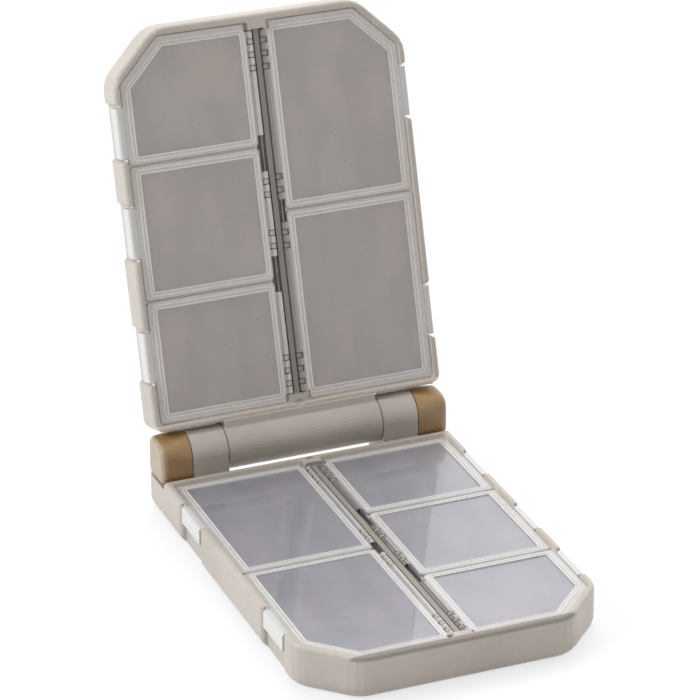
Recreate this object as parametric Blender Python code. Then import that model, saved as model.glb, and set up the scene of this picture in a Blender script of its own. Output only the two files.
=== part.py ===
"""A small two-sided tackle box for hooks, swivels and other end tackle, standing open.

Two shallow moulded trays are joined by one long hinge. Each tray has five compartments, two long ones in
one column and three shorter ones in the other, and every compartment has its own clear lid. The lids turn
on thin rods in a channel down the middle of the tray and open with a tab at the tray's edge.

Both trays are drawn in one tray frame: x runs across the tray, y runs towards the main hinge, whose axis
lies over y = 0, and z = 0 is the plane in which the trays meet, with the tray below it. Distances written
as "along" are measured from the main hinge's axis towards the far end, so a point's y is minus its along.
"""

import math

import bmesh
import bpy
from mathutils import Matrix, Vector

MM = 0.001
OVERRUN = 1.0 * MM

# Tray outline, in the tray frame
TRAY_HALF_WIDTH = 45.4 * MM
TRAY_DEPTH = 12.9 * MM
TRAY_NEAR = 8.0 * MM
TRAY_FAR = 125.5 * MM
TRAY_CHAMFER = 14.0 * MM
TRAY_CHAMFER_ROUND = 9.0 * MM
TRAY_NEAR_ROUND = 2.5 * MM
TRAY_UNDERSIDE_ROUND = 3.0 * MM
TRAY_RIM_ROUND = 1.1 * MM
LEAST_CORNER_ROUND = 0.25 * MM
FLOOR_THICKNESS = 1.4 * MM

# Rim round the lids, and the ledges that the lids lie over
RIM_SIDE = 1.8 * MM
RIM_NEAR = 1.6 * MM
RIM_FAR = 2.2 * MM
RIM_CORNER = 2.0 * MM
LEDGE_SIDE = 1.4 * MM
LEDGE_NEAR = 1.6 * MM
LEDGE_FAR = 1.4 * MM
LID_SEAT_DEPTH = 2.4 * MM
SEAT_CORNER_ROUND = 1.2 * MM

# Compartments
DIVIDER_THICKNESS = 1.4 * MM
CHANNEL_WALL_THICKNESS = 1.2 * MM
POCKET_CORNER_ROUND = 2.0 * MM
POCKET_FLOOR_ROUND = 1.6 * MM
LONG_COLUMN_SPLIT = 66.7 * MM
SHORT_COLUMN_FIRST_SPLIT = 46.5 * MM
SHORT_COLUMN_SECOND_SPLIT = 86.4 * MM

# Channel down the middle, with its rib, and the tongues of rim at its two ends
CHANNEL_HALF_WIDTH = 3.1 * MM
RIB_HALF_WIDTH = 0.8 * MM
RIB_TOP_DEPTH = 1.3 * MM
RIB_STEP = 0.4 * MM
TONGUE_HALF_WIDTH = 2.6 * MM
TONGUE_LENGTH = 2.6 * MM
DIMPLE_RADIUS = 1.25 * MM
DIMPLE_DEPTH = 0.5 * MM
DIMPLE_FROM_EDGE = 1.4 * MM

# Lids
LID_GAP = 0.35 * MM
LID_INNER_EDGE = 3.1 * MM
LID_NOTCH_EDGE = 4.0 * MM
LID_TOP_DEPTH = 0.9 * MM
LID_THICKNESS = 1.2 * MM
LID_CORNER_ROUND = 1.3 * MM
LID_EDGE_ROUND = 0.3 * MM
WINDOW_SIDE_MARGIN = 2.9 * MM
WINDOW_INNER_MARGIN = 2.0 * MM
WINDOW_NEAR_MARGIN = 2.8 * MM
WINDOW_FAR_MARGIN = 2.95 * MM
WINDOW_CHAMFER_MARGIN = 3.1 * MM
WINDOW_BAR = 4.85 * MM
WINDOW_CORNER_ROUND = 0.25 * MM
WINDOW_DEPTH = 1.15 * MM
RIDGE_HEIGHT = 0.15 * MM
RIDGE_WIDTH = 0.34 * MM
RIDGE_SLOPE = 0.12 * MM
OUTER_RIDGE_OFFSET = 0.88 * MM
INNER_RIDGE_OFFSET = -0.17 * MM

# Lid hinges
LID_AXIS_ACROSS = 1.95 * MM
LID_AXIS_DEPTH = 1.6 * MM
LID_ROD_RADIUS = 0.35 * MM
LID_ROD_CLEARANCE = 0.25 * MM
LID_ROD_END_GAP = 0.3 * MM
KNUCKLE_RADIUS = 0.85 * MM
KNUCKLE_LENGTH = 2.0 * MM
KNUCKLE_ARM_INSET = 0.15 * MM
CLIP_WIDTH = 1.3 * MM
CLIP_GAP = 0.3 * MM
CLIP_FOOT_DEPTH = 2.8 * MM
CLIP_ROOT = 0.4 * MM

# Finger tabs and the recesses in the tray's sides that they lie in
TAB_FIRST = 30.2 * MM
TAB_MIDDLE = 66.9 * MM
TAB_LAST = 96.3 * MM
TAB_LENGTH = 14.7 * MM
TAB_SIDE_GAP = 0.35 * MM
TAB_SKIRT_DEPTH = 5.8 * MM
TAB_SKIRT_THICKNESS = 1.1 * MM
TAB_TOP_DEPTH = 0.6 * MM
TAB_ROUND = 0.8 * MM
RECESS_DEPTH = 1.6 * MM
RECESS_SIDE_GAP = 0.75 * MM
RECESS_END_ROUND = 1.5 * MM

# Main hinge
HINGE_RISE = 4.45 * MM
CLOSED_GAP = 0.3 * MM
HINGE_RADIUS = 6.95 * MM
BARREL_HALF_LENGTH = 24.3 * MM
HINGE_END_GAP = 0.3 * MM
HINGE_KNUCKLE_LENGTH = 11.1 * MM
HINGE_ROD_RADIUS = 2.0 * MM
HINGE_ROD_CLEARANCE = 0.3 * MM
HINGE_ROD_TIP_GAP = 0.3 * MM
WEB_TOP_DEPTH = 0.35 * MM
WEB_ROOT = 1.0 * MM
WEB_LOWER_DROP = 5.7 * MM
WEB_SLANT_SHARE = 0.67
EAR_REACH = 6.0 * MM
EAR_DROP = 0.35 * MM
EAR_DROP_UNDER_CAP = 2.4 * MM
KNUCKLE_FOOT_DEPTH = 3.0 * MM
EAR_SETBACK = 0.4 * MM
WASHER_RADIUS = 4.5 * MM
WASHER_THICKNESS = 1.2 * MM

# End caps of the main hinge
CAP_DROP = 6.45 * MM
CAP_END_WALL = 2.1 * MM
CAP_FACE_FRONT = 5.4 * MM
CAP_FACE_BACK = 4.0 * MM
CAP_FACE_TOP = 4.8 * MM
CAP_FACE_DROP = 5.4 * MM
CAP_TAPER_BACK = 1.6 * MM
CAP_TAPER_TOP = 0.9 * MM
CAP_END_ROUND = 1.8 * MM

# Pose in the photograph, and how finely round shapes are divided
OPEN_ANGLE = math.radians(106.4)
CORNER_STEPS = 3
ROUND_STEPS = 3
HINGE_SIDES = 40
CAP_SIDES = 40
CAP_TAPER_STEPS = 4
CAP_ROUND_STEPS = 3
SMALL_SIDES = 8
HEAD_STEPS = 5
ROD_SIDES = 24
CAP_TOP_SQUARENESS = 2.0
CAP_TOP_SQUARENESS_GAIN = 1.8
CAP_FOOT_SQUARENESS = 9.0
SMOOTH_ANGLE = math.radians(32)

# Values that follow from the sizes above
DIAGONAL_SHARE = math.sqrt(2)
CHAMFER_SUM = TRAY_HALF_WIDTH + TRAY_FAR - TRAY_CHAMFER
SEAT_CHAMFER_SUM = CHAMFER_SUM - RIM_CORNER * DIAGONAL_SHARE
LID_CHAMFER_SUM = SEAT_CHAMFER_SUM - LID_GAP * DIAGONAL_SHARE
POCKET_CHAMFER_SUM = SEAT_CHAMFER_SUM - LEDGE_SIDE * DIAGONAL_SHARE
WINDOW_CHAMFER_SUM = LID_CHAMFER_SUM - WINDOW_CHAMFER_MARGIN * DIAGONAL_SHARE
SEAT_SIDE = TRAY_HALF_WIDTH - RIM_SIDE
SEAT_NEAR = TRAY_NEAR + RIM_NEAR
SEAT_FAR = TRAY_FAR - RIM_FAR
LID_SIDE = SEAT_SIDE - LID_GAP
POCKET_SIDE = SEAT_SIDE - LEDGE_SIDE
POCKET_NEAR = SEAT_NEAR + LEDGE_NEAR
POCKET_FAR = SEAT_FAR - LEDGE_FAR
POCKET_INNER = CHANNEL_HALF_WIDTH + CHANNEL_WALL_THICKNESS
WINDOW_SIDE = LID_SIDE - WINDOW_SIDE_MARGIN
WINDOW_INNER = LID_INNER_EDGE + WINDOW_INNER_MARGIN
WINDOW_NEAR = SEAT_NEAR + LID_GAP + WINDOW_NEAR_MARGIN
WINDOW_FAR = SEAT_FAR - LID_GAP - WINDOW_FAR_MARGIN
CHANNEL_NEAR = SEAT_NEAR + TONGUE_LENGTH
CHANNEL_FAR = SEAT_FAR - TONGUE_LENGTH
LID_ROD_NEAR = CHANNEL_NEAR + LID_ROD_END_GAP
LID_ROD_FAR = CHANNEL_FAR - LID_ROD_END_GAP
LID_BORE_RADIUS = LID_ROD_RADIUS + LID_ROD_CLEARANCE
KNUCKLE_PITCH = KNUCKLE_LENGTH + CLIP_WIDTH + 2 * CLIP_GAP
HINGE_BORE_RADIUS = HINGE_ROD_RADIUS + HINGE_ROD_CLEARANCE
UPPER_RISE = HINGE_RISE - CLOSED_GAP
HINGE_KNUCKLE_START = BARREL_HALF_LENGTH + HINGE_END_GAP
HINGE_KNUCKLE_END = HINGE_KNUCKLE_START + HINGE_KNUCKLE_LENGTH
CAP_START = HINGE_KNUCKLE_END + HINGE_END_GAP
CAP_END = TRAY_HALF_WIDTH
HINGE_ROD_HALF_LENGTH = CAP_END - CAP_END_WALL - HINGE_ROD_TIP_GAP
AXIS_Y = (TRAY_NEAR + TRAY_FAR) / 2

# Lids by column: side of the tray, near and far limits of each compartment, the window's limits and the
# tab's middle
HALF_BAR = WINDOW_BAR / 2
LIDS = {
    "lid_long_near": (-1, SEAT_NEAR, LONG_COLUMN_SPLIT,
                      WINDOW_NEAR, LONG_COLUMN_SPLIT - HALF_BAR, TAB_FIRST),
    "lid_long_far": (-1, LONG_COLUMN_SPLIT, SEAT_FAR,
                     LONG_COLUMN_SPLIT + HALF_BAR, WINDOW_FAR, TAB_LAST),
    "lid_short_near": (1, SEAT_NEAR, SHORT_COLUMN_FIRST_SPLIT,
                       WINDOW_NEAR, SHORT_COLUMN_FIRST_SPLIT - HALF_BAR, TAB_FIRST),
    "lid_short_middle": (1, SHORT_COLUMN_FIRST_SPLIT, SHORT_COLUMN_SECOND_SPLIT,
                         SHORT_COLUMN_FIRST_SPLIT + HALF_BAR, SHORT_COLUMN_SECOND_SPLIT - HALF_BAR,
                         TAB_MIDDLE),
    "lid_short_far": (1, SHORT_COLUMN_SECOND_SPLIT, SEAT_FAR,
                      SHORT_COLUMN_SECOND_SPLIT + HALF_BAR, WINDOW_FAR, TAB_LAST),
}
# How many short knuckles a lid's hinge has at a rim, and where two lids meet
RIM_KNUCKLE_COUNT = 3
SPLIT_KNUCKLE_COUNT = 2
# Clear lengths of lid edge that the hinge leaves at the lid's near and far ends
HINGE_MARGIN_TONGUE = TONGUE_LENGTH + LID_GAP
HINGE_MARGIN_SPLIT = 3.4 * MM
HINGE_MARGIN_MIDDLE = 7.4 * MM


def clear_scene():
    for item in list(bpy.data.objects):
        bpy.data.objects.remove(item, do_unlink=True)


def new_collection(name):
    collection = bpy.data.collections.new(name)
    bpy.context.scene.collection.children.link(collection)
    return collection


def new_material(name, colour, roughness, metallic=0.0, transmission=0.0):
    material = bpy.data.materials.new(name)
    material.use_nodes = True
    shader = material.node_tree.nodes["Principled BSDF"]
    shader.inputs["Base Color"].default_value = (*colour, 1.0)
    shader.inputs["Roughness"].default_value = roughness
    shader.inputs["Metallic"].default_value = metallic
    shader.inputs["Transmission Weight"].default_value = transmission
    material.diffuse_color = (*colour, 1.0)
    return material


# Working objects for building one mesh, all in the tray frame

def work_object(name, mesh_edit):
    """A temporary object in the cutters' collection, made from an edit mesh."""
    mesh = bpy.data.meshes.new(name)
    mesh_edit.to_mesh(mesh)
    mesh_edit.free()
    item = bpy.data.objects.new(name, mesh)
    item.display_type = "WIRE"
    item.hide_render = True
    CUTTERS.objects.link(item)
    return item


def box(low, high):
    """A box between two corners."""
    low, high = Vector(low), Vector(high)
    edit = bmesh.new()
    size = high - low
    placed = Matrix.Translation((low + high) / 2) @ Matrix.Diagonal((size.x, size.y, size.z, 1))
    bmesh.ops.create_cube(edit, size=1, matrix=placed)
    return work_object("box", edit)


def cylinder(start, end, radius, sides):
    """A closed cylinder between the middles of its two ends."""
    start, end = Vector(start), Vector(end)
    along = end - start
    turned = Vector((0, 0, 1)).rotation_difference(along).to_matrix().to_4x4()
    edit = bmesh.new()
    bmesh.ops.create_cone(edit, cap_ends=True, segments=sides, radius1=radius, radius2=radius,
                          depth=along.length, matrix=Matrix.Translation((start + end) / 2) @ turned)
    return work_object("cylinder", edit)


def prism(points, axis, low, high):
    """A flat outline pushed from low to high along x, y or z; its points are in the other two axes' order."""
    edit = bmesh.new()
    place = {"X": lambda a, b, c: (c, a, b), "Y": lambda a, b, c: (a, c, b), "Z": lambda a, b, c: (a, b, c)}
    face = edit.faces.new([edit.verts.new(place[axis](a, b, low)) for a, b in points])
    grown = bmesh.ops.extrude_face_region(edit, geom=[face])["geom"]
    moved = [v for v in grown if isinstance(v, bmesh.types.BMVert)]
    bmesh.ops.translate(edit, vec=place[axis](0, 0, high - low), verts=moved)
    bmesh.ops.recalc_face_normals(edit, faces=edit.faces)
    return work_object("prism", edit)


def loft(loops):
    """A closed body through outlines of equally many points, each with its height, from the bottom up."""
    edit = bmesh.new()
    rings = [[edit.verts.new((x, y, height)) for x, y in points] for points, height in loops]
    for lower, upper in zip(rings, rings[1:]):
        for i in range(len(lower)):
            j = (i + 1) % len(lower)
            edit.faces.new((lower[i], lower[j], upper[j], upper[i]))
    edit.faces.new(list(reversed(rings[0])))
    edit.faces.new(rings[-1])
    return work_object("loft", edit)


def combine(base, tools, operation):
    """Join tools to a base, or cut them out of it, one after the other, and leave one plain mesh."""
    for tool in tools:
        step = base.modifiers.new("step", "BOOLEAN")
        step.operation = operation
        step.solver = "EXACT"
        step.object = tool
    bpy.context.view_layer.update()
    evaluated = base.evaluated_get(bpy.context.evaluated_depsgraph_get())
    result = bpy.data.meshes.new_from_object(evaluated)
    base.modifiers.clear()
    base.data = result
    for tool in tools:
        bpy.data.objects.remove(tool, do_unlink=True)
    return base


# Outlines: corners are (x, y, radius), walked anticlockwise

def offset_corners(corners, distance):
    """The same outline grown outward by a distance, or drawn in by a negative one, radii with it."""
    moved = []
    for i, (x, y, radius) in enumerate(corners):
        here = Vector((x, y))
        before = (Vector(corners[i - 1][:2]) - here).normalized()
        after = (Vector(corners[(i + 1) % len(corners)][:2]) - here).normalized()
        half_angle = before.angle(after) / 2
        outward = -(before + after).normalized()
        here += outward * distance / math.sin(half_angle)
        moved.append((here.x, here.y, max(radius + distance, LEAST_CORNER_ROUND)))
    return moved


def rounded(corners):
    """The outline's points, with each corner an arc."""
    points = []
    for i, (x, y, radius) in enumerate(corners):
        here = Vector((x, y))
        before = (Vector(corners[i - 1][:2]) - here).normalized()
        after = (Vector(corners[(i + 1) % len(corners)][:2]) - here).normalized()
        half_angle = before.angle(after) / 2
        centre = here + (before + after).normalized() * radius / math.sin(half_angle)
        spoke = here + before * radius / math.tan(half_angle) - centre
        for k in range(CORNER_STEPS + 1):
            turn = (math.pi - 2 * half_angle) * k / CORNER_STEPS
            point = centre + Matrix.Rotation(turn, 2) @ spoke
            points.append((point.x, point.y))
    return points


def panel_corners(side, inner, outer, near, far, radius, chamfer_sum):
    """A panel in one column, its far outer corner cut off where across plus along passes chamfer_sum."""
    corners = [(inner, -near, radius), (inner, -far, radius)]
    if outer + far > chamfer_sum:
        corners += [(chamfer_sum - far, -far, radius), (outer, outer - chamfer_sum, radius)]
    else:
        corners += [(outer, -far, radius)]
    corners += [(outer, -near, radius)]
    if side < 0:
        corners = [(-x, y, r) for x, y, r in reversed(corners)]
    return corners


def tray_corners(rear):
    """The tray's outline, with its hinge-end edge at y = rear."""
    corner = TRAY_FAR - TRAY_CHAMFER
    inner = TRAY_HALF_WIDTH - TRAY_CHAMFER
    return [
        (-TRAY_HALF_WIDTH, rear, TRAY_NEAR_ROUND),
        (-TRAY_HALF_WIDTH, -corner, TRAY_CHAMFER_ROUND),
        (-inner, -TRAY_FAR, TRAY_CHAMFER_ROUND),
        (inner, -TRAY_FAR, TRAY_CHAMFER_ROUND),
        (TRAY_HALF_WIDTH, -corner, TRAY_CHAMFER_ROUND),
        (TRAY_HALF_WIDTH, rear, TRAY_NEAR_ROUND),
    ]


def quarter_steps(radius):
    """Inset and rise of each step of a rounded edge, from the flat to the wall."""
    for k in range(ROUND_STEPS + 1):
        angle = math.pi / 2 * k / ROUND_STEPS
        yield radius * (1 - math.sin(angle)), radius * (1 - math.cos(angle))


# Tray

def tray_block(rear):
    """The tray before it is hollowed: flat underside, rounded lower edge, straight walls, rounded rim."""
    corners = tray_corners(rear)
    loops = [(rounded(offset_corners(corners, -inset)), -TRAY_DEPTH + rise)
             for inset, rise in quarter_steps(TRAY_UNDERSIDE_ROUND)]
    loops += [(rounded(offset_corners(corners, -inset)), -fall)
              for inset, fall in reversed(list(quarter_steps(TRAY_RIM_ROUND)))]
    return loft(loops)


def pocket_limits(near, far):
    """A compartment's ends, from the ends of the space that its lid covers."""
    start = POCKET_NEAR if near == SEAT_NEAR else near + DIVIDER_THICKNESS / 2
    end = POCKET_FAR if far == SEAT_FAR else far - DIVIDER_THICKNESS / 2
    return start, end


def pocket_cutters():
    """The inside of each compartment, with rounded corners and a rounded foot to its walls."""
    cutters = []
    for side, near, far, *rest in LIDS.values():
        start, end = pocket_limits(near, far)
        corners = panel_corners(side, POCKET_INNER, POCKET_SIDE, start, end,
                                POCKET_CORNER_ROUND, POCKET_CHAMFER_SUM)
        floor = -TRAY_DEPTH + FLOOR_THICKNESS
        loops = [(rounded(offset_corners(corners, -inset)), floor + rise)
                 for inset, rise in quarter_steps(POCKET_FLOOR_ROUND)]
        loops.append((rounded(corners), -LID_SEAT_DEPTH + OVERRUN))
        cutters.append(loft(loops))
    return cutters


def seat_cutters():
    """The shallow seat that each column of lids lies in."""
    cutters = []
    for side in (-1, 1):
        corners = panel_corners(side, TONGUE_HALF_WIDTH, SEAT_SIDE, SEAT_NEAR, SEAT_FAR,
                                SEAT_CORNER_ROUND, SEAT_CHAMFER_SUM)
        cutters.append(loft([(rounded(corners), -LID_SEAT_DEPTH), (rounded(corners), OVERRUN)]))
    return cutters


def channel_cutters():
    """The channel on both sides of the rib, the space over the rib, and the dimple in the near tongue."""
    floor = -TRAY_DEPTH + FLOOR_THICKNESS
    cutters = []
    for side in (-1, 1):
        across = sorted((side * RIB_HALF_WIDTH, side * CHANNEL_HALF_WIDTH))
        cutters.append(box((across[0], -CHANNEL_FAR, floor), (across[1], -CHANNEL_NEAR, OVERRUN)))
    reach = (RIB_HALF_WIDTH + CHANNEL_HALF_WIDTH) / 2
    cutters.append(box((-reach, -CHANNEL_FAR - RIB_STEP, -RIB_TOP_DEPTH),
                       (reach, -CHANNEL_NEAR + RIB_STEP, OVERRUN)))
    dimple = -TRAY_NEAR - DIMPLE_FROM_EDGE
    cutters.append(cylinder((0, dimple, -DIMPLE_DEPTH), (0, dimple, OVERRUN), DIMPLE_RADIUS, ROD_SIDES))
    return cutters


def recess_outline(side, middle):
    """Plan of the upright recess for a tab, with the tray's side rounded into it at both ends."""
    half = TAB_LENGTH / 2 + RECESS_SIDE_GAP
    back = TRAY_HALF_WIDTH - RECESS_DEPTH
    outline = []
    for end in (-1, 1):
        arc = []
        for k in range(CORNER_STEPS + 1):
            angle = math.pi / 2 * k / CORNER_STEPS
            across = TRAY_HALF_WIDTH - RECESS_END_ROUND * (1 - math.sin(angle))
            along = half + RECESS_END_ROUND * (1 - math.cos(angle))
            arc.append((side * across, -middle + end * along))
        arc = [(side * back, -middle + end * half)] + arc
        arc.append((side * (TRAY_HALF_WIDTH + OVERRUN), -middle + end * (half + RECESS_END_ROUND)))
        outline += arc if end < 0 else list(reversed(arc))
    return outline


def recess_cutters():
    """The recess in the tray's side for each tab, and the gap in the rim that the tab passes through."""
    cutters = []
    for side, near, far, window_near, window_far, middle in LIDS.values():
        cutters.append(prism(recess_outline(side, middle), "Z", -TRAY_DEPTH - OVERRUN, OVERRUN))
        half = TAB_LENGTH / 2 + TAB_SIDE_GAP
        across = sorted((side * POCKET_SIDE, side * (TRAY_HALF_WIDTH + OVERRUN)))
        cutters.append(box((across[0], -middle - half, -LID_SEAT_DEPTH),
                           (across[1], -middle + half, OVERRUN)))
    return cutters


def hinge_span(name):
    """Where a lid's hinge starts and ends along the tray."""
    near, far = LIDS[name][1:3]
    near_margin = {SEAT_NEAR: HINGE_MARGIN_TONGUE}.get(near, HINGE_MARGIN_SPLIT)
    far_margin = {SEAT_FAR: HINGE_MARGIN_TONGUE}.get(far, HINGE_MARGIN_SPLIT)
    if name == "lid_short_middle":
        near_margin = far_margin = HINGE_MARGIN_MIDDLE
    return near + near_margin, far - far_margin


def knuckle_counts(name):
    """How many short knuckles a lid has at its near and far ends; the short end lids have none at a split."""
    side, near, far = LIDS[name][:3]
    at_rim = (near == SEAT_NEAR, far == SEAT_FAR)
    split_count = 0 if side > 0 and any(at_rim) else SPLIT_KNUCKLE_COUNT
    return [RIM_KNUCKLE_COUNT if rim else split_count for rim in at_rim]


def hinge_pieces(name):
    """The lid's knuckles and the tray's clips between them, each as its two ends along the tray."""
    near_count, far_count = knuckle_counts(name)
    start, end = hinge_span(name)
    knuckles, clips = [], []
    for k in range(near_count):
        here = start + k * KNUCKLE_PITCH
        knuckles.append((here, here + KNUCKLE_LENGTH))
        clips.append((here + KNUCKLE_LENGTH + CLIP_GAP, here + KNUCKLE_PITCH - CLIP_GAP))
    for k in range(far_count):
        here = end - k * KNUCKLE_PITCH
        knuckles.append((here - KNUCKLE_LENGTH, here))
        clips.append((here - KNUCKLE_PITCH + CLIP_GAP, here - KNUCKLE_LENGTH - CLIP_GAP))
    knuckles.append((start + near_count * KNUCKLE_PITCH, end - far_count * KNUCKLE_PITCH))
    return knuckles, clips


def head_arc(side):
    """The top half of a knuckle's or clip's round head, from its outer side over to its inner side."""
    points = []
    for k in range(HEAD_STEPS + 1):
        angle = math.pi * k / HEAD_STEPS
        points.append((side * (LID_AXIS_ACROSS + KNUCKLE_RADIUS * math.cos(angle)),
                       -LID_AXIS_DEPTH + KNUCKLE_RADIUS * math.sin(angle)))
    return points


def clip_solids():
    """The tray's clips round the lid rods: a cross wall in the channel with a rounded head."""
    root = -TRAY_DEPTH + FLOOR_THICKNESS - CLIP_ROOT
    solids = []
    for name, (side, *rest) in LIDS.items():
        head = head_arc(side)
        outer, inner = side * (CHANNEL_HALF_WIDTH + CLIP_ROOT), side * (RIB_HALF_WIDTH - CLIP_ROOT)
        outline = [(outer, root), (outer, -CLIP_FOOT_DEPTH), (head[0][0], -CLIP_FOOT_DEPTH), *head,
                   (head[-1][0], -CLIP_FOOT_DEPTH), (inner, -CLIP_FOOT_DEPTH), (inner, root)]
        solids += [prism(outline, "Y", -end, -start) for start, end in hinge_pieces(name)[1]]
    return solids


def lid_bores(near, far, sides):
    """The bores for lid rods between two distances along the tray, on the given sides."""
    return [cylinder((side * LID_AXIS_ACROSS, -far, -LID_AXIS_DEPTH),
                     (side * LID_AXIS_ACROSS, -near, -LID_AXIS_DEPTH), LID_BORE_RADIUS, SMALL_SIDES)
            for side in sides]


def hollow_tray(rear):
    """A whole tray but for its share of the main hinge."""
    tray = tray_block(rear)
    combine(tray, seat_cutters() + channel_cutters() + pocket_cutters() + recess_cutters(), "DIFFERENCE")
    combine(tray, clip_solids(), "UNION")
    near = CHANNEL_NEAR + LID_ROD_END_GAP / 2
    far = CHANNEL_FAR - LID_ROD_END_GAP / 2
    return combine(tray, lid_bores(near, far, (-1, 1)), "DIFFERENCE")


def hinge_cylinder(low, high, height, radius, sides=HINGE_SIDES):
    """A cylinder along the main hinge's axis, which lies at the given height in this tray's frame."""
    return cylinder((low, 0, height), (high, 0, height), radius, sides)


def arch_outline():
    """Side view of an outer knuckle: round above and behind, straight down in front into the ear."""
    outline = [(-HINGE_RADIUS, -KNUCKLE_FOOT_DEPTH)]
    for k in range(HINGE_SIDES // 2 + HINGE_SIDES // 8 + 1):
        angle = math.pi - 2 * math.pi * k / HINGE_SIDES
        outline.append((HINGE_RADIUS * math.cos(angle), HINGE_RISE + HINGE_RADIUS * math.sin(angle)))
    outline.append((outline[-1][0], -KNUCKLE_FOOT_DEPTH))
    return outline


def lower_tray_mesh():
    """The tray with ears that reach back past the axis and carry the hinge's outer knuckles."""
    tray = hollow_tray(EAR_REACH)
    wide = TRAY_HALF_WIDTH + OVERRUN
    back = EAR_REACH + OVERRUN
    inside = HINGE_KNUCKLE_START + EAR_SETBACK
    under_cap = HINGE_KNUCKLE_END - EAR_SETBACK
    cutters = [box((-inside, -TRAY_NEAR, -TRAY_DEPTH - OVERRUN), (inside, back, OVERRUN)),
               box((-wide, -TRAY_NEAR, -EAR_DROP), (wide, back, OVERRUN))]
    for side in (-1, 1):
        across = sorted((side * under_cap, side * wide))
        cutters.append(box((across[0], -TRAY_NEAR, -EAR_DROP_UNDER_CAP), (across[1], back, OVERRUN)))
    combine(tray, cutters, "DIFFERENCE")
    knuckles = [prism(arch_outline(), "X", *sorted((side * HINGE_KNUCKLE_START, side * HINGE_KNUCKLE_END)))
                for side in (-1, 1)]
    combine(tray, knuckles, "UNION")
    bore = hinge_cylinder(-wide, wide, HINGE_RISE, HINGE_BORE_RADIUS, ROD_SIDES)
    return combine(tray, [bore], "DIFFERENCE").data


def web_outline():
    """Side view of the web between the barrel and the upper tray's end wall."""
    slant = HINGE_RADIUS * WEB_SLANT_SHARE
    inside = -TRAY_NEAR - WEB_ROOT
    return [
        (inside, -WEB_TOP_DEPTH),
        (-slant, -WEB_TOP_DEPTH),
        (0, -UPPER_RISE),
        (-slant, -UPPER_RISE - slant),
        (inside, -UPPER_RISE - WEB_LOWER_DROP),
    ]


def upper_tray_mesh():
    """The same tray with the hinge's long centre barrel on its end wall."""
    tray = hollow_tray(-TRAY_NEAR)
    half = BARREL_HALF_LENGTH
    web_half = half - EAR_SETBACK
    web = prism(web_outline(), "X", -web_half, web_half)
    barrel = hinge_cylinder(-half, half, -UPPER_RISE, HINGE_RADIUS)
    combine(tray, [web, barrel], "UNION")
    reach = half + OVERRUN
    cutters = [hinge_cylinder(-reach, reach, -UPPER_RISE, HINGE_BORE_RADIUS, ROD_SIDES)]
    for side in (-1, 1):
        ends = sorted((side * (half - WASHER_THICKNESS - HINGE_END_GAP), side * reach))
        cutters.append(hinge_cylinder(*ends, -UPPER_RISE, WASHER_RADIUS + HINGE_END_GAP, ROD_SIDES))
    return combine(tray, cutters, "DIFFERENCE").data


# Lids

def lid_plate(side, near, far, window_near, window_far):
    """The clear plate, with two fine ridges round a slightly sunken window."""
    plate = panel_corners(side, LID_INNER_EDGE, LID_SIDE,
                          near + (LID_GAP if near == SEAT_NEAR else LID_GAP / 2),
                          far - (LID_GAP if far == SEAT_FAR else LID_GAP / 2),
                          LID_CORNER_ROUND, LID_CHAMFER_SUM)
    chamfer = WINDOW_CHAMFER_SUM if window_far == WINDOW_FAR else LID_CHAMFER_SUM
    window = panel_corners(side, WINDOW_INNER, WINDOW_SIDE, window_near, window_far,
                           WINDOW_CORNER_ROUND, chamfer)
    loops = [
        (rounded(plate), -LID_TOP_DEPTH - LID_THICKNESS),
        (rounded(plate), -LID_TOP_DEPTH - LID_EDGE_ROUND),
        (rounded(offset_corners(plate, -LID_EDGE_ROUND)), -LID_TOP_DEPTH),
    ]
    for start, floor in ((OUTER_RIDGE_OFFSET, LID_TOP_DEPTH), (INNER_RIDGE_OFFSET, WINDOW_DEPTH)):
        crest = RIDGE_HEIGHT - LID_TOP_DEPTH
        for offset, height in ((start + RIDGE_WIDTH + RIDGE_SLOPE, -LID_TOP_DEPTH),
                               (start + RIDGE_WIDTH, crest), (start, crest),
                               (start - RIDGE_SLOPE, -floor)):
            loops.append((rounded(offset_corners(window, offset)), height))
    return loft(loops)


def tab_outline(side):
    """Side view of the finger tab: out over the tray's wall, then down its face, with a rounded shoulder."""
    root = LID_SIDE - LEDGE_SIDE
    underside = -LID_TOP_DEPTH - LID_THICKNESS + KNUCKLE_ARM_INSET
    face = TRAY_HALF_WIDTH - RECESS_DEPTH + LID_GAP + TAB_SKIRT_THICKNESS
    outline = [(root, -LID_TOP_DEPTH - LID_EDGE_ROUND), (root, underside),
               (face - TAB_SKIRT_THICKNESS, underside),
               (face - TAB_SKIRT_THICKNESS, -TAB_SKIRT_DEPTH), (face, -TAB_SKIRT_DEPTH)]
    for k in range(CORNER_STEPS + 1):
        angle = math.pi / 2 * k / CORNER_STEPS
        outline.append((face - TAB_ROUND * (1 - math.cos(angle)),
                        -TAB_TOP_DEPTH - TAB_ROUND * (1 - math.sin(angle))))
    outline.append((LID_SIDE, -TAB_TOP_DEPTH))
    outline.append((LID_SIDE - RIDGE_WIDTH, -LID_TOP_DEPTH - LID_EDGE_ROUND))
    return [(side * x, z) for x, z in outline]


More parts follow.
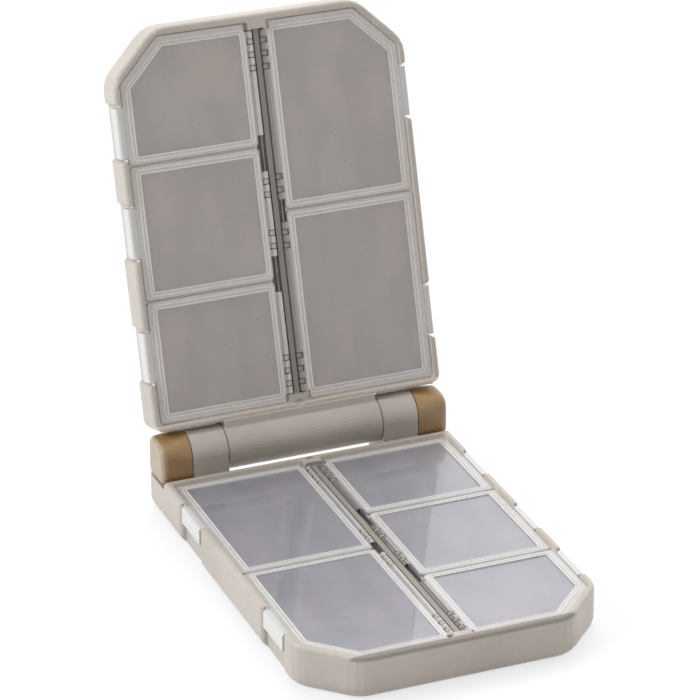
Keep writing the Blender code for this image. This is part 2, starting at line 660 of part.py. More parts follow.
def knuckle_outline(side):
    """Side view of a lid knuckle: a round head with an arm that runs into the plate's edge."""
    points = []
    for k in range(2 * HEAD_STEPS):
        angle = math.pi * (k + 0.5) / HEAD_STEPS
        points.append((LID_AXIS_ACROSS + KNUCKLE_RADIUS * math.cos(angle),
                       -LID_AXIS_DEPTH + KNUCKLE_RADIUS * math.sin(angle)))
    arm_top = -LID_TOP_DEPTH - KNUCKLE_ARM_INSET
    arm_bottom = -LID_TOP_DEPTH - LID_THICKNESS + KNUCKLE_ARM_INSET
    arm_end = LID_INNER_EDGE + KNUCKLE_ARM_INSET
    points = [p for p in points if p[0] < LID_AXIS_ACROSS or not arm_bottom < p[1] < arm_top]
    top = max((p for p in points if p[1] >= arm_top), key=lambda p: p[0])
    bottom = max((p for p in points if p[1] <= arm_bottom), key=lambda p: p[0])
    start = points.index(top)
    points = points[start:] + points[:start]
    arm = [(bottom[0], arm_bottom), (arm_end, arm_bottom), (arm_end, arm_top), (top[0], arm_top)]
    return [(side * x, z) for x, z in points + arm]


def lid_notches(name):
    """The cuts in the plate's hinge edge that let it turn past the tongues at the tray's two ends."""
    side, near, far = LIDS[name][:3]
    across = sorted((side * (LID_INNER_EDGE - OVERRUN), side * LID_NOTCH_EDGE))
    reach = TONGUE_LENGTH + LID_GAP
    ranges = []
    if near == SEAT_NEAR:
        ranges.append((near - OVERRUN, near + reach))
    if far == SEAT_FAR:
        ranges.append((far - reach, far + OVERRUN))
    return [box((across[0], -end, -LID_SEAT_DEPTH), (across[1], -start, OVERRUN)) for start, end in ranges]


def lid_mesh(name):
    """A lid with its tab and its hinge knuckles, in one moulding."""
    side, near, far, window_near, window_far, middle = LIDS[name]
    lid = lid_plate(side, near, far, window_near, window_far)
    knuckles = hinge_pieces(name)[0]
    additions = [prism(tab_outline(side), "Y", -middle - TAB_LENGTH / 2, -middle + TAB_LENGTH / 2)]
    additions += [prism(knuckle_outline(side), "Y", -end, -start) for start, end in knuckles]
    combine(lid, additions, "UNION")
    ends = [value for pair in knuckles for value in pair]
    bores = lid_bores(min(ends) - OVERRUN, max(ends) + OVERRUN, (side,))
    return combine(lid, lid_notches(name) + bores, "DIFFERENCE").data


# Main hinge's small parts, drawn round its axis

def cap_section(across, front, back, top, drop, squareness):
    """One section of an end cap as points round the axis: an arch above, and a near-square foot below."""
    points = []
    for k in range(CAP_SIDES):
        angle = 2 * math.pi * (k + 0.5) / CAP_SIDES
        c, s = math.cos(angle), math.sin(angle)
        power = squareness if s > 0 else CAP_FOOT_SQUARENESS
        reach = (abs(c) ** power + abs(s) ** power) ** (-1 / power)
        points.append((across, c * reach * (back if c > 0 else front), s * reach * (top if s > 0 else drop)))
    return points


def cap_sections():
    """The cap's sections: drawn in slowly behind and above from the knuckle on, then rounded into its end."""
    taper_end = CAP_END - CAP_END_ROUND
    sections = []
    for k in range(CAP_TAPER_STEPS + 1):
        share = k / CAP_TAPER_STEPS
        across = CAP_START + (taper_end - CAP_START) * share
        back, top = HINGE_RADIUS - CAP_TAPER_BACK * share, HINGE_RADIUS - CAP_TAPER_TOP * share
        sections.append(cap_section(across, HINGE_RADIUS, back, top, CAP_DROP,
                                    CAP_TOP_SQUARENESS + CAP_TOP_SQUARENESS_GAIN * share))
    wide = (HINGE_RADIUS, HINGE_RADIUS - CAP_TAPER_BACK, HINGE_RADIUS - CAP_TAPER_TOP, CAP_DROP)
    face = (CAP_FACE_FRONT, CAP_FACE_BACK, CAP_FACE_TOP, CAP_FACE_DROP)
    for k in range(1, CAP_ROUND_STEPS + 1):
        angle = math.pi / 2 * k / CAP_ROUND_STEPS
        inset = 1 - math.cos(angle)
        reaches = [w + (f - w) * inset for w, f in zip(wide, face)]
        sections.append(cap_section(taper_end + CAP_END_ROUND * math.sin(angle), *reaches,
                                    CAP_TOP_SQUARENESS + CAP_TOP_SQUARENESS_GAIN))
    return sections


def cap_mesh(side):
    """An end cap: round above where it meets the knuckle, nearly square at its end, with the rod's bore."""
    edit = bmesh.new()
    rings = [[edit.verts.new((side * x, y, z)) for x, y, z in section] for section in cap_sections()]
    for first, second in zip(rings, rings[1:]):
        for i in range(CAP_SIDES):
            j = (i + 1) % CAP_SIDES
            edit.faces.new((first[i], first[j], second[j], second[i]))
    edit.faces.new(rings[0])
    edit.faces.new(rings[-1])
    bmesh.ops.recalc_face_normals(edit, faces=edit.faces)
    cap = work_object("cap", edit)
    ends = sorted((side * (CAP_START - OVERRUN), side * (CAP_END - CAP_END_WALL)))
    return combine(cap, [hinge_cylinder(*ends, 0, HINGE_BORE_RADIUS, ROD_SIDES)], "DIFFERENCE").data


def washer_mesh(side):
    """A friction washer, which lies in the barrel's end and rubs on the knuckle."""
    end = BARREL_HALF_LENGTH
    ends = sorted((side * (end - WASHER_THICKNESS), side * end))
    washer = hinge_cylinder(*ends, 0, WASHER_RADIUS, ROD_SIDES)
    bore = hinge_cylinder(-end - OVERRUN, end + OVERRUN, 0, HINGE_BORE_RADIUS, ROD_SIDES)
    return combine(washer, [bore], "DIFFERENCE").data


# Placing the finished pieces

def add_piece(name, mesh, material, parent, origin=(0, 0, 0)):
    """A sub-part under its parent empty, its own origin at the given point of the parent's frame."""
    mesh = mesh.copy()
    mesh.name = name
    mesh.transform(Matrix.Translation(-Vector(origin)))
    mesh.materials.clear()
    mesh.materials.append(material)
    mesh.shade_smooth()
    mesh.set_sharp_from_angle(angle=SMOOTH_ANGLE)
    piece = bpy.data.objects.new(name, mesh)
    PARTS.objects.link(piece)
    piece.parent = parent
    piece.location = origin
    return piece


def add_empty(name, location, rotation=(0, 0, 0), parent=None):
    empty = bpy.data.objects.new(name, None)
    empty.empty_display_size = HINGE_RADIUS
    PARTS.objects.link(empty)
    empty.parent = parent
    empty.location = location
    empty.rotation_euler = rotation
    return empty


def lid_origin(name):
    """A point on the lid's own hinge axis, halfway along the lid."""
    side, near, far = LIDS[name][:3]
    return side * LID_AXIS_ACROSS, -(near + far) / 2, -LID_AXIS_DEPTH


def take_mesh(item):
    """A working object's mesh, with the object removed."""
    mesh = item.data
    bpy.data.objects.remove(item, do_unlink=True)
    return mesh


def build():
    grey = new_material("grey_plastic", (0.41, 0.38, 0.33), 0.45)
    clear = new_material("clear_plastic", (0.80, 0.80, 0.80), 0.12, transmission=0.8)
    tan = new_material("tan_plastic", (0.27, 0.16, 0.055), 0.6)
    steel = new_material("steel", (0.55, 0.55, 0.56), 0.3, metallic=1.0)
    nylon = new_material("white_nylon", (0.75, 0.74, 0.70), 0.4)

    lower_frame = add_empty("lower_tray_frame", (0, AXIS_Y, TRAY_DEPTH))
    hinge_line = add_empty("main_hinge_line", (0, 0, HINGE_RISE), parent=lower_frame)
    opened = add_empty("upper_tray_opened", (0, 0, 0), (-OPEN_ANGLE, 0, 0), hinge_line)
    upper_frame = add_empty("upper_tray_frame", (0, 0, -UPPER_RISE), (0, math.pi, 0), opened)

    add_piece("lower_tray", lower_tray_mesh(), grey, lower_frame)
    add_piece("upper_tray", upper_tray_mesh(), grey, upper_frame)

    lid_meshes = {name: lid_mesh(name) for name in LIDS}
    for level, frame in (("lower", lower_frame), ("upper", upper_frame)):
        for name, mesh in lid_meshes.items():
            add_piece(f"{level}_{name}", mesh, clear, frame, lid_origin(name))
        for side, column in ((-1, "long"), (1, "short")):
            across = side * LID_AXIS_ACROSS
            rod = cylinder((across, -LID_ROD_FAR, -LID_AXIS_DEPTH), (across, -LID_ROD_NEAR, -LID_AXIS_DEPTH),
                           LID_ROD_RADIUS, SMALL_SIDES)
            add_piece(f"{level}_lid_rod_{column}", take_mesh(rod), steel, frame)

    half = HINGE_ROD_HALF_LENGTH
    rod = hinge_cylinder(-half, half, 0, HINGE_ROD_RADIUS, ROD_SIDES)
    add_piece("hinge_rod", take_mesh(rod), steel, hinge_line)
    for side, name in ((-1, "left"), (1, "right")):
        add_piece(f"hinge_cap_{name}", cap_mesh(side), tan, hinge_line)
        add_piece(f"friction_washer_{name}", washer_mesh(side), nylon, hinge_line)

    for item in list(CUTTERS.objects):
        bpy.data.objects.remove(item, do_unlink=True)


clear_scene()
PARTS = new_collection("tackle_box")
CUTTERS = new_collection("cutters")
build()
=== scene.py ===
"""Looks for the open two-sided tackle box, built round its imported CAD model.

The moulded trays, the clear lids, the hinge's end caps, the rods and the washers are the CAD model's own
pieces with finished materials. The webs in the channels and the beads over the outer knuckles are pieces of
their own. Sizes are in millimetres unless a name or a comment says otherwise.
"""

import math

import bmesh
import bpy
from mathutils import Matrix, Vector


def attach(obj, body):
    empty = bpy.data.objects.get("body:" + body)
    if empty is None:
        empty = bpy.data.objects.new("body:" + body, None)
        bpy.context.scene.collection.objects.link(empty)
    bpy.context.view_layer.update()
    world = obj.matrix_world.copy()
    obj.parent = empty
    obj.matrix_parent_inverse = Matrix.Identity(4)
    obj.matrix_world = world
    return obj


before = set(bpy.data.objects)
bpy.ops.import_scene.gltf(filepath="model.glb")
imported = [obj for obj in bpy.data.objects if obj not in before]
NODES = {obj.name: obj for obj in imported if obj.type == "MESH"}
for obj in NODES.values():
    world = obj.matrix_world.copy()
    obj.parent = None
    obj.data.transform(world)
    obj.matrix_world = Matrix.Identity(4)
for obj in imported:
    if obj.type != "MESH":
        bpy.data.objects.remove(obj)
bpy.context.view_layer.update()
MM = 0.001

# The two trays' frames, as the CAD model places them: x across, y towards the hinge, z = 0 where they meet
AXIS_Y = 66.75
TRAY_DEPTH = 12.9
HINGE_RISE = 4.45
UPPER_RISE = 4.15
OPEN_ANGLE = math.radians(106.4)

# Where a tray's colour changes, its painted light and shade included, in its own frame: distances along it
# are negative away from the hinge, and a cut corner lies where the reach across less the distance along has
# one value
LIDS_NEAR, LIDS_FAR = -9.1, -124.1
LIDS_SIDE = 44.1
LIDS_CORNER = 155.3
SEAT_TOP, SEAT_FLOOR = -0.125, -2.6
CHANNEL_SIDE = 3.3
CHANNEL_NEAR, CHANNEL_FAR = -12.2, -120.8
CHANNEL_FLOOR = -12.0
CLIP_TOP, WEB_TOP = -0.6, -2.3
BAND_INNER, BAND_OUTER = -1.2, 2.3
PAINTED_SHADE_END, PAINTED_SHADE_FOOT = -123.3, -1.0
PAINTED_LIGHT_END, BARREL_EDGE, PAINTED_LIGHT_FOOT = -9.7, -7.8, -1.15

# The same for a lid: its plate's ends, its tab's start, its ridges' foot, the step between its margin and
# its window, the share of the lamps' light that passes it, and its glint's sides
PLATE_INNER, PLATE_OUTER = 3.0, 42.9
TAB_START = 43.25
RIDGE_FOOT, WINDOW_STEP = -0.825, -1.03
LAMP_LIGHT_PASSED = (0.72, 0.72, 0.73)
GLINT_INNER, GLINT_OUTER, GLINT_FOOT = 1.2, 1.675, -1.4

# Where the faces at the hinge caps' outer ends begin, as reach from the middle
CAP_END = 44.55

# The web below the clips of one side of a channel, from the rib outwards, as reach and height
WEB_PROFILE = ((0.75, -2.95), (1.3, -3.25), (2.0, -3.35), (2.7, -3.25), (3.15, -2.95), (3.15, -3.9),
               (0.75, -3.9))
WEB_FAR, WEB_NEAR = -120.8, -12.1

# The bead over the outer knuckles and the caps, as distance along the tray and height
BEAD_PROFILE = ((-8.05, -1.0), (-7.75, -1.2), (-7.6, -1.7), (-7.75, -2.6), (-8.05, -2.9))
BEAD_INNER, BEAD_OUTER = 24.8, 43.2
TRIM_EASE = 0.08

# Stage: the floor's half size in metres, and for each lamp its place and size in metres, watts and colour
WHITE = (1.0, 1.0, 1.0)
WORLD_TONE = (1.0, 0.995, 0.985)
WORLD_STRENGTH = 0.42
FLOOR_HALF_SIZE = 3.0
FLOOR_DROP = 0.05
FLOOR_TONE = (0.80, 0.80, 0.80)
FLOOR_GLOW = 0.70
LAMP_TARGET = Vector((0, 0.02, 0.05))
LAMPS = {
    "key": ((-0.85, 0.10, 0.60), 0.6, 7.5, (0.96, 1.0, 1.05)),
    "top": ((0.18, 0.55, 0.95), 0.8, 10.0, WHITE),
    "side": ((0.95, 0.30, 0.45), 0.6, 5.0, WHITE),
    "fill": ((0.0, -0.75, 0.90), 0.8, 1.2, WHITE),
}

# Camera as it stood for the photograph, its place in metres
CAMERA_PLACE = Vector((-0.36701, -0.88908, 0.52984))
CAMERA_AZIMUTH = math.radians(21.869)
CAMERA_DROP = math.radians(25.381)
CAMERA_ROLL = math.radians(-0.301)
CAMERA_LENS = 197.9
CAMERA_CLIP = (0.05, 20)
SENSOR = 36.0


def shift(x, y, z):
    return Matrix.Translation((x * MM, y * MM, z * MM))


LOWER = shift(0, AXIS_Y, TRAY_DEPTH)
UPPER = (LOWER @ shift(0, 0, HINGE_RISE) @ Matrix.Rotation(-OPEN_ANGLE, 4, "X")
         @ shift(0, 0, -UPPER_RISE) @ Matrix.Rotation(math.pi, 4, "Y"))
TRAYS = {"lower": LOWER, "upper": UPPER}


# Node helpers

class Tree:
    """A short way to write the nodes of a material or a world."""

    def __init__(self, owner, output="OutputMaterial"):
        owner.use_nodes = True
        self.owner = owner
        self.nodes = owner.node_tree.nodes
        self.links = owner.node_tree.links
        self.nodes.clear()
        self.output = self.add(output)

    def add(self, kind, **settings):
        node = self.nodes.new("ShaderNode" + kind)
        for key, value in settings.items():
            setattr(node, key, value)
        return node

    def feed(self, target, value):
        """Link a socket to an input, or set the input to a constant."""
        if isinstance(value, bpy.types.NodeSocket):
            self.links.new(value, target)
        else:
            target.default_value = value

    def set(self, node, **values):
        """Feed inputs by name; an underscore in a key stands for a space in the input's name."""
        for key, value in values.items():
            self.feed(node.inputs[key.replace("_", " ")], value)

    def math(self, operation, *values):
        node = self.add("Math", operation=operation)
        for target, value in zip(node.inputs, values):
            self.feed(target, value)
        return node.outputs[0]

    def product(self, result, *values):
        for value in values:
            result = self.math("MULTIPLY", result, value)
        return result

    def largest(self, result, *values):
        for value in values:
            result = self.math("MAXIMUM", result, value)
        return result

    def ramp(self, value, low, high):
        """0 where the value is at low, or past it, and 1 at high, smoothly."""
        node = self.add("MapRange", interpolation_type="SMOOTHSTEP")
        self.set(node, Value=value, From_Min=low, From_Max=high)
        return node.outputs[0]

    def over(self, value, edge, blend=0.1):
        """1 over the edge and 0 under it, with the blend's width on either side."""
        return self.ramp(value, edge - blend, edge + blend)

    def under(self, value, edge, blend=0.1):
        """1 under the edge and 0 over it, with the blend's width on either side."""
        return self.ramp(value, edge + blend, edge - blend)

    def noise(self, vector, scale, detail=2.0, roughness=0.5):
        node = self.add("TexNoise")
        self.set(node, Vector=vector, Scale=scale, Detail=detail, Roughness=roughness)
        return node.outputs["Fac"]

    def mix(self, factor, first, second):
        node = self.add("Mix", data_type="RGBA")
        for name, value in (("Factor", factor), ("A", first), ("B", second)):
            self.feed([s for s in node.inputs if s.name == name and s.enabled][0], value)
        return [s for s in node.outputs if s.enabled][0]

    def shader_mix(self, factor, first, second):
        node = self.add("MixShader")
        for target, value in zip(node.inputs, (factor, first, second)):
            self.links.new(value, target)
        return node.outputs[0]

    def split(self, vector):
        node = self.add("SeparateXYZ")
        self.links.new(vector, node.inputs[0])
        return node.outputs

    def place(self):
        """Position on the piece in millimetres, in the row frame with the piece at rest."""
        node = self.add("VectorMath", operation="SCALE")
        self.links.new(self.add("TexCoord").outputs["Object"], node.inputs[0])
        node.inputs["Scale"].default_value = 1 / MM
        return node.outputs[0]

    def tray_place(self, level):
        """Across, toward the hinge and up from the parting plane, in one tray's own frame, in millimetres."""
        inverse = TRAYS[level].inverted()
        node = self.add("Mapping")
        self.set(node, Vector=self.place(), Location=inverse.translation / MM, Rotation=inverse.to_euler())
        return node.outputs[0]

    def stretched(self, place, scales):
        """The place with each coordinate multiplied, which draws a noise out where the factor is small."""
        node = self.add("VectorMath", operation="MULTIPLY")
        self.links.new(place, node.inputs[0])
        node.inputs[1].default_value = scales
        return node.outputs[0]

    def shaded_channel_band(self, level, across):
        """1 over the band of the channel that is painted in shade, which takes in the hinge knuckles on one
        side only.
        """
        toward = self.product(across, 1.0 if level == "lower" else -1.0)
        return self.product(self.over(toward, BAND_INNER), self.under(toward, BAND_OUTER))

    def painted_edge_highlight(self, radius, low, high):
        """1 on convex edges and 0 on flats, from how far a bevelled normal turns away from the plain one; it
        places painted edge highlights.
        """
        bevel = self.add("Bevel", samples=4)
        bevel.inputs["Radius"].default_value = radius * MM
        dot = self.add("VectorMath", operation="DOT_PRODUCT")
        self.links.new(bevel.outputs[0], dot.inputs[0])
        self.links.new(self.add("NewGeometry").outputs["Normal"], dot.inputs[1])
        return self.ramp(dot.outputs["Value"], high, low)

    def bump(self, height, distance, strength, normal=None):
        node = self.add("Bump")
        self.set(node, Height=height, Distance=distance * MM, Strength=strength)
        if normal is not None:
            self.links.new(normal, node.inputs["Normal"])
        return node.outputs[0]

    def seen(self):
        """1 for what the camera sees, also in mirrors and through the lids, and 0 for light on things."""
        rays = self.add("LightPath").outputs
        return self.largest(rays["Is Camera Ray"], rays["Is Glossy Ray"], rays["Is Transmission Ray"])

    def principled(self, **values):
        node = self.add("BsdfPrincipled")
        self.set(node, **values)
        return node.outputs[0]

    def finish(self, shader):
        self.links.new(shader, self.output.inputs["Surface"])
        return self.owner


def material_tree(name):
    return Tree(bpy.data.materials.new(name))


def rgb(red, green, blue):
    """A colour as written for screens, 0 to 255, in the linear values that shaders take."""
    def linear(value):
        value /= 255
        return value / 12.92 if value <= 0.04045 else ((value + 0.055) / 1.055) ** 2.4
    return linear(red), linear(green), linear(blue), 1.0


def tinted(colour, factor, lift=0.0):
    """The same colour with its linear values multiplied, and lifted by the same small amount."""
    return tuple(min(1.0, c * factor + lift) for c in colour[:3]) + (1.0,)


# Materials

def tray_plastic(level, channel_shade_factor):
    """Opaque moulded plastic: faint flow marks and a satin grain, with painted highlights on its edges,
    painted light round the lids' seats and over the upper tray's hinge, and painted shade in the channel and
    on the lower tray's far rim.
    """
    tree = material_tree(f"moulded_grey_{level}")
    base = rgb(178, 169, 159)
    place = tree.place()
    across, along, height = tree.split(tree.tray_place(level))
    reach = tree.math("ABSOLUTE", across)
    flow = tree.noise(place, 0.035, 3.0, 0.55)
    cloud = tree.noise(place, 0.25)
    specks = tree.noise(place, 1.7, 4.0, 0.7)
    tone = tree.mix(tree.over(flow, 0.50, 0.15), base, tinted(base, 0.90))
    tone = tree.mix(tree.product(tree.over(cloud, 0.60, 0.15), 0.35), tone, tinted(base, 1.08))
    tone = tree.mix(tree.product(tree.over(specks, 0.72, 0.06), 0.22), tone, tinted(base, 0.80))
    # Painted highlight: convex edges are paler, standing in for the light they catch
    edge_highlight = tree.painted_edge_highlight(0.35, 0.80, 0.985)
    tone = tree.mix(tree.product(edge_highlight, 0.40), tone, tinted(base, 1.25, 0.02))
    # Painted light on the walls round the lids' seats keeps their narrow gaps from looking black
    painted_seat_light = tree.product(tree.over(along, LIDS_FAR), tree.under(along, LIDS_NEAR),
                        tree.over(reach, CHANNEL_SIDE), tree.under(reach, LIDS_SIDE),
                        tree.under(tree.math("SUBTRACT", reach, along), LIDS_CORNER),
                        tree.under(height, SEAT_TOP, 0.075), tree.over(height, SEAT_FLOOR))
    tone = tree.mix(tree.product(painted_seat_light, 0.85), tone, tinted(base, 1.9, 0.04))
    # Painted shade darkens the middle of the channel, the rib and the clips beside it, and all below the
    # webs' tops, where the channel is deep and shaded
    channel = tree.product(tree.over(along, CHANNEL_FAR, 0.2), tree.under(along, CHANNEL_NEAR, 0.2),
                           tree.over(height, CHANNEL_FLOOR, 0.2))
    middle = tree.product(tree.shaded_channel_band(level, across), tree.under(height, CLIP_TOP))
    bottom = tree.product(tree.under(reach, CHANNEL_SIDE, 0.2), tree.under(height, WEB_TOP, 0.3))
    tone = tree.mix(tree.product(channel, tree.largest(middle, bottom)), tone, tinted(base, channel_shade_factor))
    # Painted shade darkens the rim at the lower tray's far end, and painted light makes the upper tray's rim
    # paler over the hinge
    if level == "lower":
        end = tree.product(tree.under(along, PAINTED_SHADE_END, 0.2), tree.over(height, PAINTED_SHADE_FOOT, 0.5))
        tone = tree.mix(end, tone, tinted(base, 0.48))
    else:
        end = tree.product(tree.over(along, PAINTED_LIGHT_END, 0.2), tree.under(along, BARREL_EDGE),
                           tree.over(height, PAINTED_LIGHT_FOOT, 0.35))
        tone = tree.mix(end, tone, tinted(base, 1.5))
    gloss = tree.math("ADD", tree.product(cloud, 0.14), 0.30)
    gloss = tree.math("SUBTRACT", gloss, tree.product(edge_highlight, 0.08))
    normal = tree.bump(tree.noise(place, 2.2), 0.010, 0.5)
    normal = tree.bump(tree.noise(place, 0.11), 0.10, 0.25, normal)
    return tree.finish(tree.principled(Base_Color=tone, Roughness=gloss, Normal=normal, IOR=1.55,
                                       Specular_IOR_Level=0.6))


def tan_plastic():
    """The end caps' satin tan: cloudy, with a fine grain, and painted highlights on the outer ends and on the
    edges.
    """
    tree = material_tree("moulded_tan")
    place = tree.place()
    cloud = tree.noise(place, 0.16, 3.0, 0.55)
    tone = tree.mix(tree.over(cloud, 0.5, 0.2), rgb(150, 117, 71), rgb(139, 107, 61))
    # Painted highlight: the caps' outer end faces are paler, standing in for the sheen they catch
    end = tree.over(tree.math("ABSOLUTE", tree.split(place)[0]), CAP_END, 0.65)
    tone = tree.mix(tree.product(end, 0.6), tone, rgb(160, 151, 134))
    # Painted highlight on the caps' convex edges
    edge_highlight = tree.painted_edge_highlight(0.6, 0.75, 0.985)
    tone = tree.mix(tree.product(edge_highlight, 0.25), tone, rgb(184, 160, 122))
    gloss = tree.math("ADD", tree.product(cloud, 0.12), 0.26)
    normal = tree.bump(tree.noise(place, 2.0), 0.010, 0.5)
    return tree.finish(tree.principled(Base_Color=tone, Roughness=gloss, Normal=normal, IOR=1.6,
                                       Specular_IOR_Level=0.7))


def lid_plastic(level, window, margin, tab_tone):
    """Clear, frosted plastic: glossy outside, hazy in its window, milky in its margins and tab, with painted
    highlights, whiter and milkier, on its ridges' crests and its edges, and painted shade over the knuckles
    in the channel.
    """
    tree = material_tree(f"clear_{level}")
    place = tree.tray_place(level)
    across, _, height = tree.split(place)
    reach = tree.math("ABSOLUTE", across)
    crest = tree.product(tree.over(height, RIDGE_FOOT, 0.035), tree.over(reach, PLATE_INNER),
                         tree.under(reach, PLATE_OUTER))
    sunken = tree.under(height, WINDOW_STEP, 0.05)
    tab = tree.over(reach, TAB_START, 0.25)
    hinge = tree.shaded_channel_band(level, across)
    edge_highlight = tree.painted_edge_highlight(0.18, 0.80, 0.97)
    flow = tree.noise(place, 0.06, 3.0, 0.6)
    drift = tree.noise(place, 0.035)
    streaks = tree.noise(tree.stretched(place, (1.0, 0.35, 0.35)), 0.09, 2.0, 0.45)
    swirl = tree.noise(place, 0.22, 4.0, 0.65)
    smudge = tree.noise(place, 0.9, 3.0, 0.6)
    warm = (window[0] * 1.05, window[1] * 0.98, window[2] * 0.95, 1.0)
    cool = (window[0] * 0.90, window[1] * 0.93, window[2] * 0.95, 1.0)
    clear_tone = tree.mix(tree.over(flow, 0.50, 0.15), window, cool)
    clear_tone = tree.mix(tree.product(tree.over(drift, 0.55), 0.8), clear_tone, warm)
    clear_tone = tree.mix(tree.product(tree.over(streaks, 0.54, 0.12), 0.45), clear_tone,
                          tinted(window, 0.78))
    milk_tone = tree.mix(tree.over(swirl, 0.55, 0.15), margin, tinted(margin, 0.94))
    tone = tree.mix(sunken, milk_tone, clear_tone)
    # Painted highlight on the lid's convex edges
    tone = tree.mix(tree.product(edge_highlight, 0.6), tone, rgb(224, 221, 217))
    # Painted highlight on the ridges' crests
    tone = tree.mix(tree.product(crest, 0.7), tone, rgb(222, 219, 215))
    # Painted shade: the knuckles in the channel's shaded band are darkened to the channel's grey, and made
    # near opaque below
    tone = tree.mix(hinge, tone, rgb(118, 116, 113))
    if level == "upper":
        glint = tree.product(tree.over(across, GLINT_INNER, 0.05), tree.under(across, GLINT_OUTER, 0.075),
                             tree.over(height, GLINT_FOOT))
        tone = tree.mix(glint, tone, rgb(238, 236, 232))
    tone = tree.mix(tab, tone, tab_tone)
    haze = tree.math("ADD", tree.product(tree.over(swirl, 0.55, 0.20), 0.06), 0.42)
    milky = tree.math("SUBTRACT", 0.70, tree.product(sunken, 0.70))
    masks = ((crest, 0.85), (hinge, 0.85), (tab, 0.92), (edge_highlight, 0.7))
    opaque = tree.largest(haze, milky, *(tree.product(mask, amount) for mask, amount in masks))
    gloss = tree.math("ADD", tree.product(smudge, 0.12), 0.24)
    normal = tree.bump(tree.noise(place, 0.10), 0.03, 0.20)
    plastic = tree.principled(Base_Color=tone, Roughness=gloss, Normal=normal, IOR=1.49,
                              Transmission_Weight=tree.math("SUBTRACT", 1.0, opaque),
                              Coat_Weight=1.0, Coat_Roughness=0.02, Coat_IOR=1.75)
    # Lamps shine through the lids, which lose little of their light
    passing = tree.add("BsdfTransparent")
    passing.inputs["Color"].default_value = (*LAMP_LIGHT_PASSED, 1.0)
    rays = tree.add("LightPath").outputs
    lamps = tree.largest(rays["Is Shadow Ray"], rays["Is Diffuse Ray"])
    return tree.finish(tree.shader_mix(lamps, plastic, passing.outputs[0]))


def steel():
    """Drawn wire: fine marks along its length and slight stains."""
    tree = material_tree("drawn_steel")
    place = tree.place()
    lines = tree.noise(tree.stretched(place, (6.0, 0.25, 6.0)), 1.0, 3.0, 0.6)
    stain = tree.noise(place, 0.3, 3.0, 0.6)
    tone = tree.mix(tree.over(stain, 0.55, 0.20), rgb(128, 127, 126), rgb(108, 106, 103))
    gloss = tree.math("ADD", tree.product(lines, 0.20), 0.18)
    return tree.finish(tree.principled(Base_Color=tone, Metallic=1.0, Roughness=gloss,
                                       Normal=tree.bump(lines, 0.004, 0.5)))


def nylon():
    """The friction washers' white nylon, waxy and clouded, with a fine grain."""
    tree = material_tree("waxy_nylon")
    place = tree.place()
    cloud = tree.noise(place, 0.6, 3.0, 0.6)
    tone = tree.mix(tree.over(cloud, 0.5, 0.2), rgb(232, 230, 222), rgb(222, 219, 208))
    gloss = tree.math("ADD", tree.product(cloud, 0.2), 0.3)
    return tree.finish(tree.principled(Base_Color=tone, Roughness=gloss, Subsurface_Weight=0.1,
                                       Normal=tree.bump(tree.noise(place, 3.0), 0.01, 0.5)))


TAN, STEEL, NYLON = tan_plastic(), steel(), nylon()
# One plastic for both trays and one for both sets of lids: each pair differs only in painted shade and
# painted light, and the lower lids' bluer window is also a painted reflection of the upper tray
GREY = {"lower": tray_plastic("lower", 0.60), "upper": tray_plastic("upper", 0.50)}
CLEAR = {"lower": lid_plastic("lower", rgb(165, 164, 172), rgb(197, 193, 189), rgb(197, 195, 191)),
         "upper": lid_plastic("upper", rgb(188, 179, 174), rgb(206, 199, 193), rgb(186, 184, 181))}


def finish_cad_pieces():
    for name, piece in NODES.items():
        level = name.split("_")[0]
        if "tray" in name:
            material = GREY[level]
        elif "cap" in name:
            material = TAN
        elif "rod" in name:
            material = STEEL
        elif "washer" in name:
            material = NYLON
        else:
            material = CLEAR[level]
        for slot in piece.material_slots:
            slot.material = material


# Small mouldings that are shown but not in the CAD model

def new_object(name, data):
    item = bpy.data.objects.new(name, data)
    bpy.context.scene.collection.objects.link(item)
    return item


def mesh_object(name, edit):
    mesh = bpy.data.meshes.new(name)
    edit.to_mesh(mesh)
    edit.free()
    return new_object(name, mesh)


def sweep(name, level, profile, axis, start, end):
    """A bar along the hinge (x) or along the tray (y), from start to end, with the given section."""
    edit = bmesh.new()
    rings = []
    for value in (start, end):
        corners = [(value, a, b) if axis == "x" else (a, value, b) for a, b in profile]
        rings.append([edit.verts.new(TRAYS[level] @ (Vector(corner) * MM)) for corner in corners])
    for i in range(len(profile)):
        j = (i + 1) % len(profile)
        edit.faces.new((rings[0][i], rings[0][j], rings[1][j], rings[1][i]))
    for ring in rings:
        edit.faces.new(ring)
    bmesh.ops.recalc_face_normals(edit, faces=edit.faces)
    item = mesh_object(name, edit)
    item.data.materials.append(GREY[level])
    bevel = item.modifiers.new("ease", "BEVEL")
    bevel.width = TRIM_EASE * MM
    bevel.segments = 2
    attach(item, level)


def channel_webs():
    """The thin web that closes each channel below the clips, dished between the rib and the side walls."""
    for level in TRAYS:
        for side, column in ((-1, "long"), (1, "short")):
            profile = [(side * reach, height) for reach, height in WEB_PROFILE]
            sweep(f"{level}_channel_web_{column}", level, profile, "y", WEB_FAR, WEB_NEAR)


def hinge_beads():
    """The bead along the upper tray's hinge end, over the outer knuckles and the caps."""
    sweep("upper_hinge_bead_right", "upper", BEAD_PROFILE, "x", -BEAD_OUTER, -BEAD_INNER)
    sweep("upper_hinge_bead_left", "upper", BEAD_PROFILE, "x", BEAD_INNER, BEAD_OUTER)


# Stage

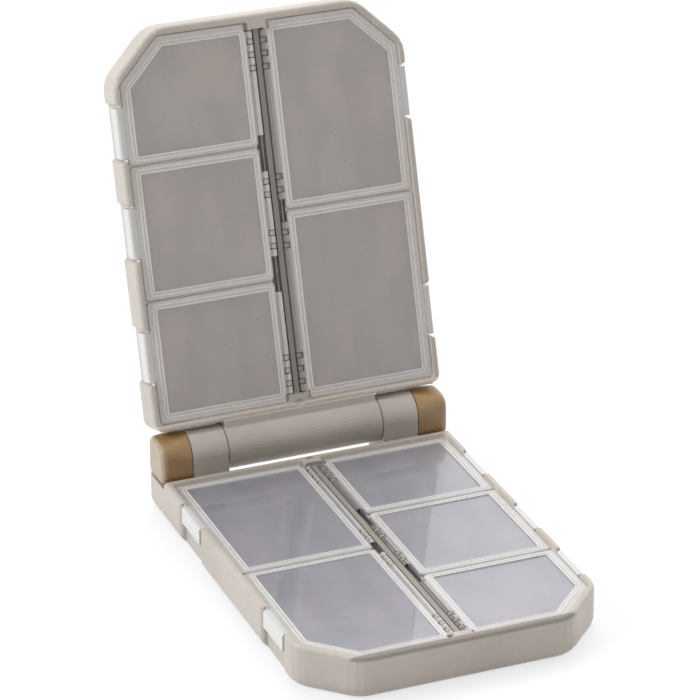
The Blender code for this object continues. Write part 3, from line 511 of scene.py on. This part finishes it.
def add_floor():
    """A wide pale floor that looks white to the camera, in mirrors and through the lids, with its shadows."""
    edit = bmesh.new()
    bmesh.ops.create_grid(edit, x_segments=8, y_segments=8, size=FLOOR_HALF_SIZE)
    floor = mesh_object("floor", edit)
    floor.location.z = -FLOOR_DROP * MM
    tree = material_tree("pale_floor")
    plain, glow = tree.add("BsdfDiffuse"), tree.add("Emission")
    tree.set(plain, Color=(*FLOOR_TONE, 1.0))
    tree.set(glow, Color=(*WHITE, 1.0), Strength=1.0)
    blend = tree.shader_mix(tree.product(tree.seen(), FLOOR_GLOW), plain.outputs[0], glow.outputs[0])
    floor.data.materials.append(tree.finish(blend))


def set_world():
    """Soft even light on things, and plain white to the camera, in mirrors and through the lids."""
    world = bpy.data.worlds.new("studio")
    bpy.context.scene.world = world
    tree = Tree(world, "OutputWorld")
    soft, white = tree.add("Background"), tree.add("Background")
    tree.set(soft, Color=(*WORLD_TONE, 1.0), Strength=WORLD_STRENGTH)
    tree.set(white, Color=(*WHITE, 1.0), Strength=1.0)
    tree.finish(tree.shader_mix(tree.seen(), soft.outputs[0], white.outputs[0]))


def add_lamps():
    """Square soft lights aimed at the middle of the box, which show in no mirror."""
    for name, (place, size, watts, colour) in LAMPS.items():
        lamp = bpy.data.lights.new(name, "AREA")
        lamp.size = size
        lamp.energy = watts
        lamp.color = colour
        item = new_object(name, lamp)
        item.location = place
        item.rotation_euler = (LAMP_TARGET - Vector(place)).to_track_quat("-Z", "Y").to_euler()
        item.visible_camera = False
        item.visible_glossy = False


def add_camera():
    forward = Vector((math.sin(CAMERA_AZIMUTH) * math.cos(CAMERA_DROP),
                      math.cos(CAMERA_AZIMUTH) * math.cos(CAMERA_DROP), -math.sin(CAMERA_DROP)))
    level = Vector((math.cos(CAMERA_AZIMUTH), -math.sin(CAMERA_AZIMUTH), 0))
    upright = level.cross(forward)
    right = level * math.cos(CAMERA_ROLL) + upright * math.sin(CAMERA_ROLL)
    up = upright * math.cos(CAMERA_ROLL) - level * math.sin(CAMERA_ROLL)
    data = bpy.data.cameras.new("camera")
    data.lens = CAMERA_LENS
    data.sensor_width = SENSOR
    data.clip_start, data.clip_end = CAMERA_CLIP
    camera = new_object("camera", data)
    turned = Matrix((right, up, -forward)).transposed().to_4x4()
    camera.matrix_world = Matrix.Translation(CAMERA_PLACE) @ turned
    bpy.context.scene.camera = camera


finish_cad_pieces()
channel_webs()
hinge_beads()
add_floor()
set_world()
add_lamps()
add_camera()
bpy.context.scene.view_settings.view_transform = "Standard"
